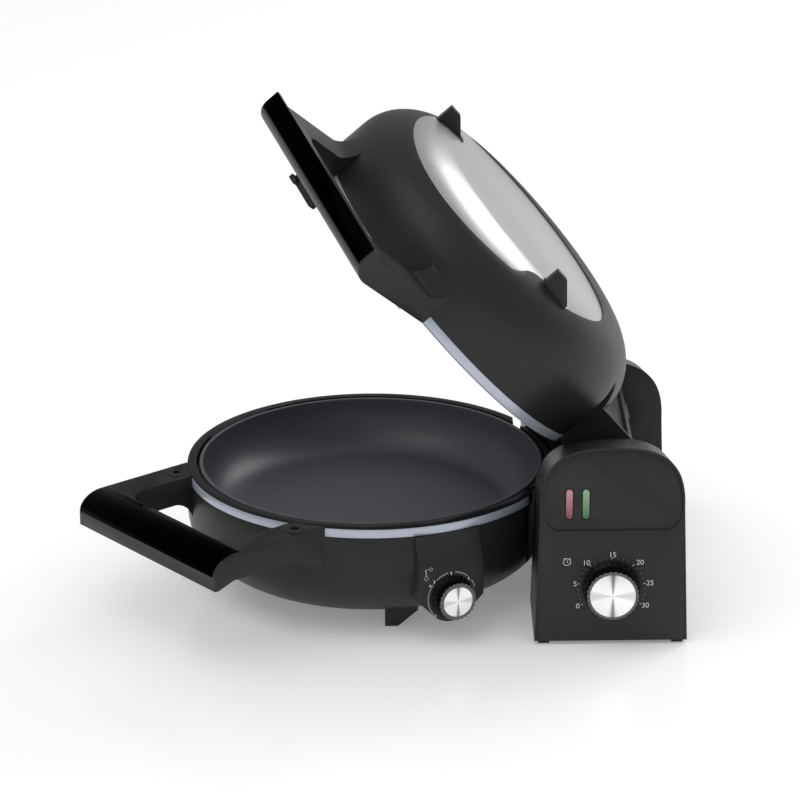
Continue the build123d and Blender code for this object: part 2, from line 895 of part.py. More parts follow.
def disc_area():
    """The plan of the lid's metal disc: a round let in round both feet."""
    outline = Pos(*disc_centre) * Circle(disc_radius)
    outline -= Pos(*disc_notch_centre) * Circle(disc_notch_radius)
    corners = []
    for vertex in outline.vertices():
        x, y = disc_notch_centre
        if abs(math.hypot(vertex.X - x, vertex.Y - y) - disc_notch_radius) < 0.01:
            corners.append(vertex)
    outline = fillet(corners, disc_notch_fillet)
    area = Pos(0, 0, -far) * extrude(outline, far - 20)
    for x, y in (near_foot, far_foot):
        x1 = x + foot_length + foot_slope_run
        area -= box(x - 1, x1 + 1, y - 1, y + foot_width + 1, -far, -20)
    return area


def disc_skin():
    """The recess in the lid for the metal disc."""
    return (bowl(0, -20) - bowl(disc_thick, -19)) & disc_area()


def lid_disc():
    """The metal disc let into the lid, its flat middle a little sunk."""
    sunk = rod_z(rim_radius, 0, 0, -far, -bowl_depth + disc_sunk)
    return disc_skin() - sunk


def strip(on_lid):
    """The gloss strip along the handle's outer edge, drawn along +X."""
    body = extrude(Plane.XZ * handle_section(), handle_half, both=True)
    skin = body - Pos(-strip_thick, 0, -strip_thick) * body
    near = handle_half - strip_near_gap
    if on_lid:
        top = round_end_z + lid_strip_rise
        return skin & box(round_start, far, -far, near, -handle_edge_depth, top)
    zone = box(window_reach + 1, far, -far, near, round_end_z, 5)
    return (skin & zone) - latch_catch()


def plate_room(gap):
    """Plan of the socket plates on the handle arms, drawn along +X."""
    plates = []
    for side in (-pin_side, pin_side):
        x0 = pin_radial - plate_inner - gap
        x1 = pin_radial + plate_outer + gap
        half = plate_half + gap
        plates.append(box(x0, x1, side - half, side + half, top_z - plate_depth, 5))
    return joined(plates) - rod_z(rim_radius + plate_rim_gap - gap, 0, 0, -20, 20)


def socket_holes(radius, depth):
    """Holes under the locating pins, drawn along +X."""
    sides = (-pin_side, pin_side)
    return joined(rod_z(radius, pin_radial, side, -depth, 10) for side in sides)


def socket_plates():
    """The two small plates in the lower handle that take the locating pins."""
    plates = plate_room(0) & box(0, far, -far, far, -20, top_z)
    return plates - socket_holes(pin_radius + socket_clear, 20)


def locating_pins():
    """The lid's two pins, drawn as on a lower pan: they stand above the parting plane."""
    top = pin_length - parting_gap
    sides = (-pin_side, pin_side)
    return joined(rod_z(pin_radius, pin_radial, side, -pin_hold, top) for side in sides)


# Latch: a slider on the lid handle whose lip passes a notch in the lower handle


def latch():
    """The latch as it hangs on the lid, drawn with the lid's casing below the parting plane."""
    lip_y = latch_far + lip_length
    y0 = latch_far + rail_inset[0]
    y1 = latch_near - rail_inset[1]
    body = box(latch_low, latch_high, latch_far, latch_near, -latch_hold, latch_drop)
    body += box(latch_low, lip_reach, latch_far, lip_y, latch_drop - lip_height, latch_drop)
    return body + box(latch_high - 1, rail_reach, y0, y1, -rail_high, -rail_low)


def latch_rail_slot():
    """The slot in the lid handle that guides the latch's rail."""
    c = loose_clearance
    y0 = latch_far + rail_inset[0] - c
    y1 = latch_near - rail_inset[1] + latch_travel + c
    return box(window_reach - 3, rail_reach + c, y0, y1, -rail_high - c, -rail_low + c)


def latch_catch():
    """The notch and the undercut in the lower handle that the latch's lip enters."""
    c = lip_clear
    y0 = latch_far - c
    y1 = latch_far + lip_length + c
    notch = box(window_reach - 5, lip_reach + c, y0, y1, -far, 10)
    under_top = -(latch_drop - lip_height) + c
    under = box(window_reach - 5, lip_reach + c, y0, y1 + latch_travel, -far, under_top)
    return notch + under


# Thermostat on the lower pan, drawn along +X


def boss_outline(radius, half, reach0, reach1, top):
    """The thermostat boss seen along its shaft: round below, straight sides above."""
    low = Pos(0, thermostat_z) * Circle(radius)
    chin = thermostat_boss_chin * half / thermostat_boss_half
    chin_z = thermostat_z - math.sqrt(radius**2 - chin**2)
    flare_z = thermostat_z - 0.1 * radius
    corners = [(-half, top), (half, top), (half, flare_z), (chin, chin_z), (-chin, chin_z)]
    corners.append((-half, flare_z))
    outline = low + make_face(Polyline(*corners, close=True))
    plane = Plane(origin=(reach0, 0, 0), x_dir=(0, 1, 0), z_dir=(1, 0, 0))
    return extrude(plane * outline, reach1 - reach0)


def thermostat_boss():
    """The boss, its face leaning back to the bowl's wall under the band."""
    half = thermostat_boss_half
    body = boss_outline(thermostat_boss_radius, half, 80, thermostat_reach, band_low)
    wall = rim_radius + 0.6
    lean_z = thermostat_z + thermostat_lean_end
    corners = [
        (80, band_low),
        (wall, band_low),
        (wall, band_low - 3),
        (thermostat_reach, lean_z),
        (thermostat_reach, -far),
        (80, -far),
    ]
    face = make_face(Polyline(*corners, close=True))
    knee = [v for v in face.vertices() if abs(v.X - thermostat_reach) < 0.1 and v.Y > -far + 1]
    face = fillet(knee, 50)
    return body & extrude(Plane.XZ * face, far, both=True)


def thermostat_hollow():
    """The room inside the boss."""
    radius = thermostat_boss_radius - bowl_wall
    top = thermostat_z + thermostat_lean_end - bowl_wall
    return boss_outline(radius, radius, 70, thermostat_reach - bowl_wall, top)


def thermostat_body():
    """The thermostat switch behind the boss's face."""
    x1 = thermostat_reach - bowl_wall
    body = rod_x(thermostat_body_radius, x1 - thermostat_body_depth, x1, thermostat_z)
    bore = shaft_radius + running_clearance
    return body - rod_x(bore, x1 - shaft_depth - 1, x1 + 1, thermostat_z)


def thermostat_shaft():
    """The thermostat's turning shaft."""
    x0 = thermostat_reach - bowl_wall - shaft_depth
    x1 = thermostat_reach + knob_gap + shaft_in_knob
    return rod_x(shaft_radius, x0, x1, thermostat_z)


def on_thermostat(shape):
    """Turn a shape drawn along +X to the thermostat's direction."""
    return Rot(0, 0, thermostat_angle) * shape


def on_thermostat_face(shape):
    """Place a knob drawn on +Z at the thermostat."""
    place = Pos(thermostat_reach + knob_gap, 0, thermostat_z) * Rot(0, 90, 0)
    return on_thermostat(place * shape)


def lower_housing():
    """The lower pan's casing with thermostat boss, pin sockets and latch catch."""
    body = housing(lower_knuckle)
    body += on_thermostat(thermostat_boss()) - bowl(bowl_wall, 0)
    body -= on_thermostat(thermostat_hollow())
    x0 = thermostat_reach - 2 * bowl_wall
    body -= on_thermostat(rod_x(shaft_radius + shaft_clearance, x0, far, thermostat_z))
    body -= on_handle(plate_room(0.05) + socket_holes(pin_radius + socket_clear, socket_depth))
    body -= on_handle(latch_catch())
    return body - on_handle(strip(False))


def lid_housing():
    """The lid's casing with the disc's recess, the latch's slot and the pin holes."""
    body = housing(lid_knuckle)
    body -= disc_skin()
    body -= on_handle(latch_rail_slot())
    body -= on_handle(socket_holes(pin_radius + press_clearance, pin_hold))
    return body - on_handle(strip(True))


def place_lower(shape):
    """Put a shape drawn on the parting plane at the axle's height."""
    return Pos(0, 0, axle_height) * shape


def place_lid(shape):
    """Turn the drawn pan over and open it about the axle."""
    closed = Pos(0, 0, axle_height) * mirror(shape, about=Plane.XY)
    hinge = Pos(axle_x, 0, axle_height)
    return hinge * Rot(0, lid_opening, 0) * Pos(-axle_x, 0, -axle_height) * closed


parts = {}

# Base
parts["base_bridge"] = base_bridge()
parts["front_tower_shell"] = tower_shell(front_y, front_tower_height, True)
parts["rear_tower_shell"] = tower_shell(tower_inner_y, rear_tower_height, False)
parts["front_tower_cover"] = tower_cover(front_y, front_tower_height, True)
parts["rear_tower_cover"] = tower_cover(tower_inner_y, rear_tower_height, False)
parts["control_panel"] = control_panel()
parts["rear_panel"] = rear_panel()
parts["tower_feet"] = tower_feet()
parts["cover_screws"] = cover_screws()
parts["bridge_screws"] = bridge_screws()
parts["red_lens"] = lens(red_lens_x)
parts["green_lens"] = lens(green_lens_x)
parts["lamp_holder"] = lamp_holder()
parts["timer_body"] = timer_body()
parts["front_bearing"] = bearing(-1)
parts["rear_bearing"] = bearing(1)
parts["axle"] = axle()
parts["axle_clips"] = axle_clips()
parts["terminal_block"] = terminal_block()
parts["cable_gland"] = cable_gland()

# Timer knob
timer_knob = knob(timer_knob_radius, timer_skirt_radius, timer_knob_height, timer_flutes)
parts["timer_shaft"] = timer_shaft()
parts["timer_knob"] = on_timer(timer_knob)
parts["timer_knob_cap"] = on_timer(knob_cap(timer_cap_radius, timer_knob_height))

# Lower pan
parts["lower_housing"] = place_lower(lower_housing())
parts["lower_rim_band"] = place_lower(rim_band())
parts["lower_collar"] = place_lower(collar())
parts["lower_dish"] = place_lower(dish())
parts["lower_element"] = place_lower(element())
parts["lower_reflector"] = place_lower(reflector())
parts["lower_thermal_fuse"] = place_lower(thermal_fuse())
parts["lower_screws"] = place_lower(reflector_screws())
parts["lower_feet"] = place_lower(pan_feet())
parts["lower_bushes"] = place_lower(bushes(lower_knuckle))
parts["lower_handle_strip"] = place_lower(on_handle(strip(False)))
parts["socket_plates"] = place_lower(on_handle(socket_plates()))
parts["thermostat_body"] = place_lower(on_thermostat(thermostat_body()))

# Thermostat knob
small_knob = knob(
    thermostat_knob_radius, thermostat_skirt_radius, thermostat_knob_height, thermostat_flutes
)
small_cap = knob_cap(thermostat_cap_radius, thermostat_knob_height)
parts["thermostat_shaft"] = place_lower(on_thermostat(thermostat_shaft()))
parts["thermostat_knob"] = place_lower(on_thermostat_face(small_knob))
parts["thermostat_knob_cap"] = place_lower(on_thermostat_face(small_cap))

# Lid
parts["lid_housing"] = place_lid(lid_housing())
parts["lid_rim_band"] = place_lid(rim_band())
parts["lid_collar"] = place_lid(collar())
parts["lid_dish"] = place_lid(dish())
parts["lid_element"] = place_lid(element())
parts["lid_reflector"] = place_lid(reflector())
parts["lid_thermal_fuse"] = place_lid(thermal_fuse())
parts["lid_screws"] = place_lid(reflector_screws())
parts["lid_feet"] = place_lid(pan_feet())
parts["lid_bushes"] = place_lid(bushes(lid_knuckle))
parts["lid_handle_strip"] = place_lid(on_handle(strip(True)))
parts["lid_disc"] = place_lid(lid_disc())
parts["locating_pins"] = place_lid(on_handle(locating_pins()))

# Latch
parts["latch"] = place_lid(on_handle(latch()))

boxes = [shape.bounding_box() for shape in parts.values()]
low_x = min(b.min.X for b in boxes)
high_x = max(b.max.X for b in boxes)
low_y = min(b.min.Y for b in boxes)
high_y = max(b.max.Y for b in boxes)
low_z = min(b.min.Z for b in boxes)
shift = Pos(-(low_x + high_x) / 2, -(low_y + high_y) / 2, -low_z)
for name, shape in parts.items():
    export_step(shift * shape, f"parts/{name}.step")

print("shift", [round(v, 4) for v in shift.position])
print("box", round(high_x - low_x, 2), round(high_y - low_y, 2))
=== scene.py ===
import bmesh
import bpy
import math
from mathutils import Matrix, Vector
from mathutils.bvhtree import BVHTree
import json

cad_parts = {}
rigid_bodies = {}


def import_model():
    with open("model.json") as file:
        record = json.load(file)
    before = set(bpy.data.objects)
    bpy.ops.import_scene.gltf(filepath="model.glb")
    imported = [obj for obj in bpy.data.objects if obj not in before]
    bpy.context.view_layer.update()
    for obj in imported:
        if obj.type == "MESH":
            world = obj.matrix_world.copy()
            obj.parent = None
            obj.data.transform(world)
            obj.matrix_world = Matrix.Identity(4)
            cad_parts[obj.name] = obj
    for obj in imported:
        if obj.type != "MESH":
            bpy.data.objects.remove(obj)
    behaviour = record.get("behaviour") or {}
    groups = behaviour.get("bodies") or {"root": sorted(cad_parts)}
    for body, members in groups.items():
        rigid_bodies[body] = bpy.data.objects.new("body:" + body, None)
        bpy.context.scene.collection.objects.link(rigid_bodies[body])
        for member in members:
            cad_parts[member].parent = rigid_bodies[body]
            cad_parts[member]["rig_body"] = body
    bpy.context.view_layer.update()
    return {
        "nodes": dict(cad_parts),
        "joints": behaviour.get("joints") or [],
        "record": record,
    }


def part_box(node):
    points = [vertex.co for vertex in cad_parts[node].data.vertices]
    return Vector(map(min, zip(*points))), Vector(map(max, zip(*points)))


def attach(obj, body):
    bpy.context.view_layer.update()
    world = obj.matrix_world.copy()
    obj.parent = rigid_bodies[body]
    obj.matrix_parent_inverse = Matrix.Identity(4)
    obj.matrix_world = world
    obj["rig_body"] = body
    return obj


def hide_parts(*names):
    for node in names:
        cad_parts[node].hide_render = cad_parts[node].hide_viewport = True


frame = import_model()

MM = 0.001
WELD_MM = 0.003
FLAT_DEGREES = 0.3
ROUND_FROM_DEGREES = 38
ROUND_SEGMENTS = 2
SHARP_SOFT_DEGREES = 32
SHARP_CAD_DEGREES = 30

# Places taken from the frame: the lower pan's centre on the worktop, the axle and the lid's opening
dish_low, dish_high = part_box("lower_dish")
centre = (dish_low + dish_high) / 2
pan_centre = Vector((centre.x, centre.y, 0))
hinge = next(j for j in frame["joints"] if j["name"] == "lid_hinge")
axle = Vector(hinge["pos_m"])
lid_open = math.radians(hinge["range_deg"][1])
to_lower = Matrix.Translation((pan_centre.x, pan_centre.y, axle.z))
turn_about_axle = (
    Matrix.Translation(axle) @ Matrix.Rotation(lid_open, 4, "Y") @ Matrix.Translation(-axle)
)
to_lid = turn_about_axle @ to_lower @ Matrix.Scale(-1, 4, (0, 0, 1))


# Materials


def linear(hexa):
    """An sRGB hex colour as linear RGBA."""
    out = []
    for i in (1, 3, 5):
        c = int(hexa[i : i + 2], 16) / 255
        out.append(c / 12.92 if c <= 0.04045 else ((c + 0.055) / 1.055) ** 2.4)
    return (*out, 1.0)


def node(tree, kind, links=(), **settings):
    """Adds a node, sets its sockets and properties, and links its inputs."""
    made = tree.nodes.new(kind)
    for key, value in settings.items():
        if hasattr(made, key) and key not in made.inputs:
            setattr(made, key, value)
        else:
            socket_name = key if key in made.inputs else key.replace("_", " ")
            made.inputs[socket_name].default_value = value
    for socket, source in links:
        tree.links.new(source, made.inputs[socket])
    return made


def surface(name, **settings):
    """A new material with its Principled shader set; returns material, tree and shader."""
    made = bpy.data.materials.new(name)
    made.use_nodes = True
    tree = made.node_tree
    shader = tree.nodes["Principled BSDF"]
    for key, value in settings.items():
        shader.inputs[key].default_value = value
    return made, tree, shader


def grain(tree, shader, size_mm, strength, distance_mm):
    """Fine bumps of a moulded or coated surface, by their real spacing."""
    place = node(tree, "ShaderNodeTexCoord").outputs["Object"]
    fineness = 1 / (size_mm * MM)
    noise = node(tree, "ShaderNodeTexNoise", [("Vector", place)], Scale=fineness, Detail=2.0)
    bump = node(
        tree,
        "ShaderNodeBump",
        [("Height", noise.outputs["Fac"])],
        Strength=strength,
        Distance=distance_mm * MM,
    )
    tree.links.new(bump.outputs["Normal"], shader.inputs["Normal"])


def vary(tree, shader, socket, low, high, size_mm):
    """Spreads a value a little over the surface in soft patches."""
    place = node(tree, "ShaderNodeTexCoord").outputs["Object"]
    fineness = 1 / (size_mm * MM)
    noise = node(tree, "ShaderNodeTexNoise", [("Vector", place)], Scale=fineness, Detail=3.0)
    span = node(tree, "ShaderNodeMapRange", [("Value", noise.outputs["Fac"])])
    span.inputs["To Min"].default_value = low
    span.inputs["To Max"].default_value = high
    tree.links.new(span.outputs["Result"], shader.inputs[socket])


def moulded_abs():
    """Black ABS from a fine eroded mould: satin, with an even broken sheen."""
    made, tree, shader = surface(
        "moulded_abs",
        **{"Base Color": linear("#202021"), "Roughness": 0.44, "Specular IOR Level": 0.32},
    )
    grain(tree, shader, 0.7, 0.22, 0.05)
    vary(tree, shader, "Roughness", 0.38, 0.46, 30)
    return made


def panel_abs():
    """The control panel's smoother black ABS."""
    made, tree, shader = surface(
        "panel_abs",
        **{"Base Color": linear("#242425"), "Roughness": 0.38, "Specular IOR Level": 0.3},
    )
    grain(tree, shader, 0.5, 0.12, 0.03)
    return made


def painted_shade_abs():
    """Black ABS painted darker as shade, for parting faces and shelves, which see less light."""
    made, tree, shader = surface(
        "painted_shade_abs",
        **{"Base Color": linear("#121213"), "Roughness": 0.42, "Specular IOR Level": 0.16},
    )
    grain(tree, shader, 0.7, 0.2, 0.05)
    return made


def piano_black():
    """Polished black strip: deep, with a narrow clean reflection."""
    made, tree, shader = surface(
        "piano_black",
        **{"Base Color": linear("#000000"), "Roughness": 0.1, "Specular IOR Level": 0.01},
    )
    grain(tree, shader, 8.0, 0.02, 0.02)
    return made


def painted_band():
    """Satin grey-blue lacquer on the aluminium rim band."""
    made, tree, shader = surface(
        "painted_band",
        **{"Base Color": linear("#b3bac6"), "Roughness": 0.36, "Metallic": 0.45},
    )
    grain(tree, shader, 0.5, 0.08, 0.03)
    return made


def nonstick():
    """Dark non-stick coating on cast aluminium: faint orange peel and fine flakes."""
    made, tree, shader = surface(
        "nonstick_coating", **{"Base Color": linear("#3d4046"), "Roughness": 0.4}
    )
    place = node(tree, "ShaderNodeTexCoord").outputs["Object"]
    flakes = node(tree, "ShaderNodeTexVoronoi", [("Vector", place)], Scale=1 / (0.9 * MM))
    ramp = node(tree, "ShaderNodeValToRGB", [("Fac", flakes.outputs["Distance"])])
    ramp.color_ramp.elements[0].position = 0.05
    ramp.color_ramp.elements[0].color = linear("#51555d")
    ramp.color_ramp.elements[1].position = 0.3
    ramp.color_ramp.elements[1].color = linear("#3b3e44")
    tree.links.new(ramp.outputs["Color"], shader.inputs["Base Color"])
    grain(tree, shader, 1.2, 0.1, 0.04)
    return made


def collar_highlight_paint():
    """Pale grey painted highlight on the black collar's edge that shows under the lid's band."""
    made, tree, shader = surface(
        "collar_highlight_paint",
        **{"Base Color": linear("#8b8f94"), "Roughness": 0.42, "Specular IOR Level": 0.3},
    )
    grain(tree, shader, 0.6, 0.08, 0.03)
    return made


RING_SPACING_MM = 0.35
# Painted sheen of the turned caps, by angle round the cap: a dark streak one way, a faint one
# across, white between.
PAINTED_SHEEN_STOPS = ((0.07, "#a5a5aa"), (0.16, "#e9e9ec"), (0.3, "#ffffff"), (0.95, "#ffffff"))


def spun_metal(name, centre, heading):
    """Turned metal with fine ring bumps; the fans of sheen that its rings draw are painted into its
    colour by angle, as seen facing the cap.
    """
    made, tree, shader = surface(name, **{"Metallic": 0.85, "Roughness": 0.26})
    place = node(tree, "ShaderNodeTexCoord").outputs["Object"]
    turned_place = node(
        tree,
        "ShaderNodeMapping",
        [("Vector", place)],
        vector_type="TEXTURE",
        Location=centre,
        Rotation=(math.radians(90), 0, heading + math.radians(90)),
    )
    parts = node(tree, "ShaderNodeSeparateXYZ", [("Vector", turned_place.outputs["Vector"])])
    angle = node(
        tree,
        "ShaderNodeMath",
        [(0, parts.outputs["Y"]), (1, parts.outputs["X"])],
        operation="ARCTAN2",
    )
    across = node(tree, "ShaderNodeMath", [(0, angle.outputs[0])], operation="COSINE")
    across = node(tree, "ShaderNodeMath", [(0, across.outputs[0])], operation="ABSOLUTE")
    # Painted sheen: the turned rings' fan of light, as colour.
    painted_sheen = node(tree, "ShaderNodeValToRGB", [("Fac", across.outputs[0])])
    stops = painted_sheen.color_ramp.elements
    stops[0].color = linear("#77777c")
    stops[1].color = linear("#dcdce0")
    for where, shade in PAINTED_SHEEN_STOPS:
        stops.new(where).color = linear(shade)
    tree.links.new(painted_sheen.outputs["Color"], shader.inputs["Base Color"])
    rings = node(
        tree,
        "ShaderNodeVectorMath",
        [(0, turned_place.outputs["Vector"])],
        operation="LENGTH",
    )
    wave = node(tree, "ShaderNodeMath", [(0, rings.outputs["Value"])], operation="MULTIPLY")
    wave.inputs[1].default_value = 2 * math.pi / (RING_SPACING_MM * MM)
    wave = node(tree, "ShaderNodeMath", [(0, wave.outputs[0])], operation="SINE")
    bump = node(
        tree,
        "ShaderNodeBump",
        [("Height", wave.outputs[0])],
        Strength=0.15,
        Distance=0.01 * MM,
    )
    tree.links.new(bump.outputs["Normal"], shader.inputs["Normal"])
    return made


def bezel_plastic():
    """Satin grey rim that runs round each knob's grip."""
    made, tree, shader = surface(
        "bezel_plastic",
        **{"Base Color": linear("#5a5a5b"), "Roughness": 0.4, "Specular IOR Level": 0.4},
    )
    grain(tree, shader, 0.5, 0.1, 0.03)
    return made


def print_ink(name, hexa):
    """Matt pad-printed ink."""
    made, tree, shader = surface(
        name,
        **{"Base Color": linear(hexa), "Roughness": 0.55, "Specular IOR Level": 0.2},
    )
    vary(tree, shader, "Roughness", 0.5, 0.6, 3)
    return made


def brushed_disc():
    """The lid's satin aluminium disc."""
    made, tree, shader = surface(
        "brushed_disc",
        **{"Base Color": linear("#c9c9cb"), "Metallic": 1.0, "Roughness": 0.36},
    )
    grain(tree, shader, 0.4, 0.06, 0.03)
    return made


def knob_plastic():
    """Black knob moulding, a little glossier than the casing."""
    made, tree, shader = surface(
        "knob_abs",
        **{"Base Color": linear("#080808"), "Roughness": 0.35, "Specular IOR Level": 0.12},
    )
    grain(tree, shader, 0.5, 0.1, 0.03)
    return made


def bright_steel():
    """Drawn steel of axle, screws and heater tubes."""
    made, tree, shader = surface(
        "bright_steel", **{"Base Color": linear("#b9b9b7"), "Metallic": 1.0, "Roughness": 0.3}
    )
    grain(tree, shader, 0.6, 0.08, 0.02)
    return made


def sintered_bronze():
    """Porous bronze of the hinge bushes."""
    made, tree, shader = surface(
        "sintered_bronze", **{"Base Color": linear("#9c7a45"), "Metallic": 1.0, "Roughness": 0.45}
    )
    grain(tree, shader, 0.4, 0.2, 0.03)
    return made


def natural_nylon():
    """Off-white nylon of bearings and terminals."""
    made, tree, shader = surface(
        "natural_nylon", **{"Base Color": linear("#dcdad2"), "Roughness": 0.45}
    )
    grain(tree, shader, 0.6, 0.1, 0.03)
    return made


def black_rubber():
    """Matt rubber of the pads."""
    made, tree, shader = surface(
        "black_rubber", **{"Base Color": linear("#161616"), "Roughness": 0.75}
    )
    grain(tree, shader, 0.5, 0.3, 0.05)
    return made


def lens_plastic(name, top, bottom, low_z, high_z):
    """Tinted acrylic lens, painted lighter towards its top as a highlight."""
    made, tree, shader = surface(name, **{"Roughness": 0.12})
    place = node(tree, "ShaderNodeTexCoord").outputs["Object"]
    height = node(tree, "ShaderNodeSeparateXYZ", [("Vector", place)]).outputs["Z"]
    span = node(tree, "ShaderNodeMapRange", [("Value", height)])
    span.inputs["From Min"].default_value = low_z
    span.inputs["From Max"].default_value = high_z
    ramp = node(tree, "ShaderNodeValToRGB", [("Fac", span.outputs["Result"])])
    ramp.color_ramp.elements[0].color = linear(bottom)
    ramp.color_ramp.elements[1].color = linear(top)
    tree.links.new(ramp.outputs["Color"], shader.inputs["Base Color"])
    return made


abs_black = moulded_abs()
abs_panel = panel_abs()
# Plastic painted darker as shade, for parting faces, shelves, collars and socket plates.
abs_painted_shade = painted_shade_abs()
gloss = piano_black()
band_grey = painted_band()
coating = nonstick()
timer_cap_low, timer_cap_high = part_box("timer_knob_cap")
timer_cap_centre = (timer_cap_low + timer_cap_high) / 2
heat_cap_low, heat_cap_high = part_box("thermostat_knob_cap")
heat_cap_centre = (heat_cap_low + heat_cap_high) / 2
heat_turn = next(j for j in frame["joints"] if j["name"] == "thermostat_turn")
heat_out = Vector(heat_turn["axis"]).normalized()
heat_heading = math.atan2(heat_out.y, heat_out.x)
timer_out = Vector((0, -1, 0))
timer_heading = math.atan2(timer_out.y, timer_out.x)
timer_metal = spun_metal("timer_cap_metal", timer_cap_centre, timer_heading)
heat_metal = spun_metal("thermostat_cap_metal", heat_cap_centre, heat_heading)
# Pale grey of the painted highlight on the lid collar's outer side.
collar_highlight_grey = collar_highlight_paint()
bezel_grey = bezel_plastic()
white_ink = print_ink("white_ink", "#c9c9c9")
dim_ink = print_ink("dim_ink", "#6e6e6e")
ring_ink = print_ink("ring_ink", "#8c8c8c")
mark_ink = print_ink("mark_ink", "#474747")
disc_metal = brushed_disc()
knob_black = knob_plastic()
steel = bright_steel()
bronze = sintered_bronze()
nylon = natural_nylon()
rubber = black_rubber()
# The lenses' colours run lighter to the top: painted highlight.
red_low, red_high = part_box("red_lens")
red_glass = lens_plastic("red_lens_acrylic", "#b98c90", "#6e2a32", red_low.z, red_high.z)
green_glass = lens_plastic("green_lens_acrylic", "#86a889", "#2a6132", red_low.z, red_high.z)

finishes = {
    "black_plastic": abs_black,
    "black_gloss": gloss,
    "knob_plastic": knob_black,
    "turned_metal": disc_metal,
    "grey_band": band_grey,
    "nonstick": coating,
    "steel": steel,
    "bronze": bronze,
    "bearing_plastic": nylon,
    "rubber": rubber,
    "red_lens": red_glass,
    "green_lens": green_glass,
}
own_finish = {
    "timer_knob_cap": timer_metal,
    "thermostat_knob_cap": heat_metal,
    "control_panel": abs_panel,
    # Collars and socket plates: plastic painted darker as shade.
    "lower_collar": abs_painted_shade,
    "lid_collar": abs_painted_shade,
    "socket_plates": abs_painted_shade,
}
slot_of = {s["node"]: s["material_slot"] for s in frame["record"]["subparts"]}


def dress(piece, material):
    """Gives a piece one material over all its faces."""
    piece.data.materials.clear()
    piece.data.materials.append(material)


for name, cad in frame["nodes"].items():
    dress(cad, own_finish.get(name, finishes[slot_of[name]]))


# Pieces that stand for CAD nodes, with rounded edges


def keep(piece, name, material):
    """Links a finished piece, gives it its material and body, and hides the CAD node it stands for.
    """
    bpy.context.scene.collection.objects.link(piece)
    dress(piece, material)
    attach(piece, frame["nodes"][name]["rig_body"])
    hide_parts(name)


def merged_copy(name):
    """A CAD node's mesh with its faces joined along their shared edges."""
    bm = bmesh.new()
    bm.from_mesh(frame["nodes"][name].data)
    bmesh.ops.remove_doubles(bm, verts=bm.verts, dist=WELD_MM * MM)
    bmesh.ops.dissolve_limit(
        bm,
        angle_limit=math.radians(FLAT_DEGREES),
        use_dissolve_boundaries=False,
        verts=bm.verts,
        edges=bm.edges,
        delimit={"MATERIAL"},
    )
    return bm


def edges_to_round(bm):
    """The edges sharp enough to be rounded."""
    limit = math.radians(ROUND_FROM_DEGREES)
    return [e for e in bm.edges if len(e.link_faces) == 2 and e.calc_face_angle(0.0) > limit]


def soften(name, width_mm):
    """Rounds a CAD node's edges in a piece of its own that stands for the node."""
    bm = merged_copy(name)
    bmesh.ops.bevel(
        bm,
        geom=edges_to_round(bm),
        offset=width_mm * MM,
        offset_type="OFFSET",
        affect="EDGES",
        segments=ROUND_SEGMENTS,
        profile=0.5,
        material=-1,
        clamp_overlap=True,
    )
    mesh = bpy.data.meshes.new(name + "_soft")
    bm.to_mesh(mesh)
    bm.free()
    mesh.shade_smooth()
    mesh.set_sharp_from_angle(angle=math.radians(SHARP_SOFT_DEGREES))
    piece = bpy.data.objects.new(name + "_soft", mesh)
    keep(piece, name, own_finish.get(name, finishes[slot_of[name]]))
    return piece


# Widths asked for, in millimetres. The overlap clamp cuts them to a quarter or less where a mesh is
# finely divided: on casings, towers, collars, feet, bridge, control panel and disc
soft_edges = {
    "front_tower_shell": 0.9,
    "rear_tower_shell": 0.9,
    "control_panel": 0.7,
    "rear_panel": 0.6,
    "lower_housing": 0.6,
    "lid_housing": 0.6,
    "lower_collar": 0.4,
    "lid_collar": 0.4,
    "lower_dish": 0.4,
    "lid_dish": 0.4,
    "lower_rim_band": 0.3,
    "lid_rim_band": 0.3,
    "lower_feet": 0.7,
    "lid_feet": 0.7,
    "lower_handle_strip": 0.25,
    "lid_handle_strip": 0.25,
    "socket_plates": 0.25,
    "locating_pins": 0.5,
    "latch": 0.5,
    "lid_disc": 0.3,
    "base_bridge": 0.8,
    "tower_feet": 0.6,
    "cable_gland": 0.6,
    "timer_knob": 0.45,
    "thermostat_knob": 0.35,
    "timer_knob_cap": 0.3,
    "thermostat_knob_cap": 0.25,
    "red_lens": 0.5,
    "green_lens": 0.5,
}
softened = {name: soften(name, width) for name, width in soft_edges.items()}

for name, cad in frame["nodes"].items():
    if name not in softened:
        cad.data.shade_smooth()
        cad.data.set_sharp_from_angle(angle=math.radians(SHARP_CAD_DEGREES))


# Housings: painted shade on the parting faces

PARTING_DEPTH_MM = 25.0
PARTING_LEVEL = 0.9


def paint_parting_shade(name, to_world):
    """Paints shade on the faces that meet the other pan, with the plastic painted darker."""
    piece = softened[name]
    piece.data.materials.append(abs_painted_shade)
    to_flat = to_world.inverted()
    turn = to_flat.to_3x3()
    for face in piece.data.polygons:
        level = (turn @ face.normal).z > PARTING_LEVEL
        if level and (to_flat @ face.center).z > -PARTING_DEPTH_MM * MM:
            face.material_index = 1


paint_parting_shade("lower_housing", to_lower)
paint_parting_shade("lid_housing", to_lid)


# Lenses: a little smaller than their slots, so that a dark gap shows round them


def shrink_lens(name, width, height):
    """Draws a lens in towards its own middle."""
    low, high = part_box(name)
    middle = (low + high) / 2
    for vert in softened[name].data.vertices:
        vert.co.x = middle.x + (vert.co.x - middle.x) * width
        vert.co.z = middle.z + (vert.co.z - middle.z) * height


for lens in ("red_lens", "green_lens"):
    shrink_lens(lens, width=0.84, height=0.955)


# Knobs: grey rim round the grip, marks on the skirt

RIM_STEP_MM = 1.6
RIM_RISE_MM = 0.85
MARK_RADIUS_MM = 0.38
TIMER_SKIRT_MM = 1.2
HEAT_SKIRT_MM = 8.6


